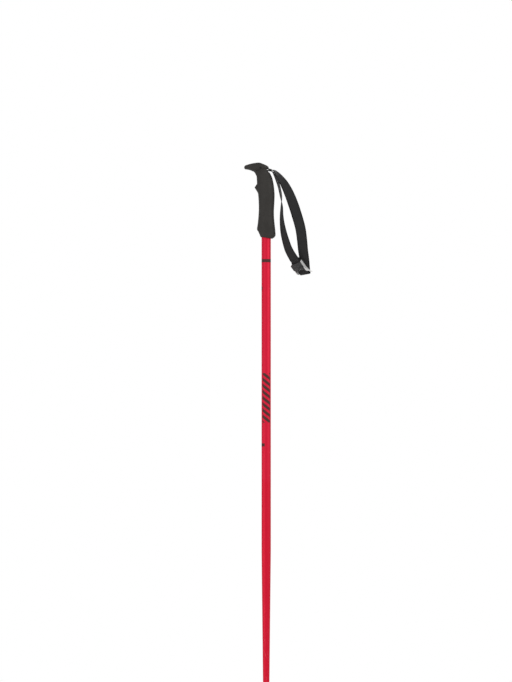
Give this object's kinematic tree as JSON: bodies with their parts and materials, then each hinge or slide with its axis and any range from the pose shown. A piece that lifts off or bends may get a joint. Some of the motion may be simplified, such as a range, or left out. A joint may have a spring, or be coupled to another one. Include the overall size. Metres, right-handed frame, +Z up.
{
  "type": "ski pole",
  "caption": "Alpine ski pole with a hooked grip, a tapered aluminium shaft, a webbing wrist strap with a cam buckle, a round snow basket and a steel point.",
  "frame": {"origin": "centre of the flat end of the steel point, on the shaft's axis", "axes": "+Z up along the shaft, -X the way the hook of the grip faces, +X the strap side"},
  "size_m": [0.1324, 0.06, 1.2],
  "materials": {
    "grip": "matt moulded rubber-like plastic with a fine grain",
    "shaft_paint": "satin red paint on drawn aluminium tube",
    "hard_plastic": "matt injection-moulded plastic",
    "basket_plastic": "matt injection-moulded plastic",
    "lever_plastic": "ribbed moulded plastic",
    "webbing": "woven polyester webbing",
    "nickel_plate": "bright nickel plate on pressed steel",
    "steel": "plain drawn steel",
    "point_steel": "hardened steel, ground"
  },
  "bodies": {
    "pole": {"grip": "grip", "strap_pin": "steel", "shaft": "shaft_paint", "shaft_end_plug": "hard_plastic", "tip_ferrule": "hard_plastic", "tip_insert": "point_steel", "basket_washer": "steel", "strap_anchor_loop": "webbing"},
    "strap": {"strap_long_leg": "webbing", "strap_short_leg": "webbing", "buckle_frame": "nickel_plate", "cam_pin": "steel", "cam_spring": "steel"},
    "cam": {"cam_lever": "lever_plastic"},
    "snow_basket": {"basket": "basket_plastic"}
  },
  "joints": [
    {"name": "strap_swing", "type": "hinge", "parent": "pole", "child": "strap", "pos_m": [0.0072, 0, 1.1863], "axis": [0, -1, 0], "range_deg": [-4, 105], "stiffness_Nm_per_rad": 0.03, "springref_deg": 11.46},
    {"name": "cam_lever_hinge", "type": "hinge", "parent": "strap", "child": "cam", "pos_m": [0.06559, -0.00067, 0.99393], "axis": [0.7623, -0.5509, 0.3397], "range_deg": [0, 65], "stiffness_Nm_per_rad": 0.002, "springref_deg": -17.19},
    {"name": "basket_spin", "type": "hinge", "parent": "pole", "child": "snow_basket", "pos_m": [0, 0, 0.072], "axis": [0, 0, 1], "continuous": true}
  ]
}
